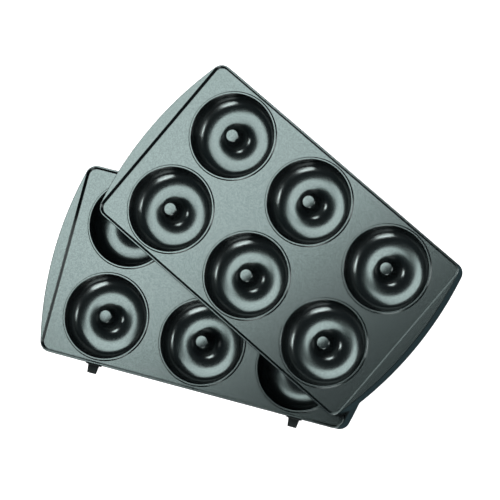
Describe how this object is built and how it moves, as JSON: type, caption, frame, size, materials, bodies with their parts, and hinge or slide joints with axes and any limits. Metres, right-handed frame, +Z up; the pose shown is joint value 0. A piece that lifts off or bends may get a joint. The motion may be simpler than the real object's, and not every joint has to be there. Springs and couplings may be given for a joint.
{
  "type": "donut baking plates",
  "caption": "Pair of loose die-cast non-stick baking plates for ring donuts, one lying turned on the other; bowed ends, raised flange, ring cavities with centre posts.",
  "frame": {"origin": "under the middle of the pair's box, on the surface that the lower plate stands on", "axes": "+X along the lower plate's long sides, +Y away from its lugs, +Z up out of the baking faces"},
  "size_m": [0.2896, 0.2326, 0.0443],
  "materials": {
    "nonstick_coating": "satin grey non-stick coating on a die casting",
    "black_lug": "black, satin"
  },
  "bodies": {
    "lower_plate": {"lower_plate": "nonstick_coating", "left_lug": "black_lug", "right_lug": "black_lug"},
    "upper_plate": {"upper_plate": "nonstick_coating"}
  },
  "joints": [
    {"name": "upper_plate_lift", "type": "slide", "parent": "lower_plate", "child": "upper_plate", "axis": [0, 0, 1], "range_m": [0, 0.12]}
  ]
}
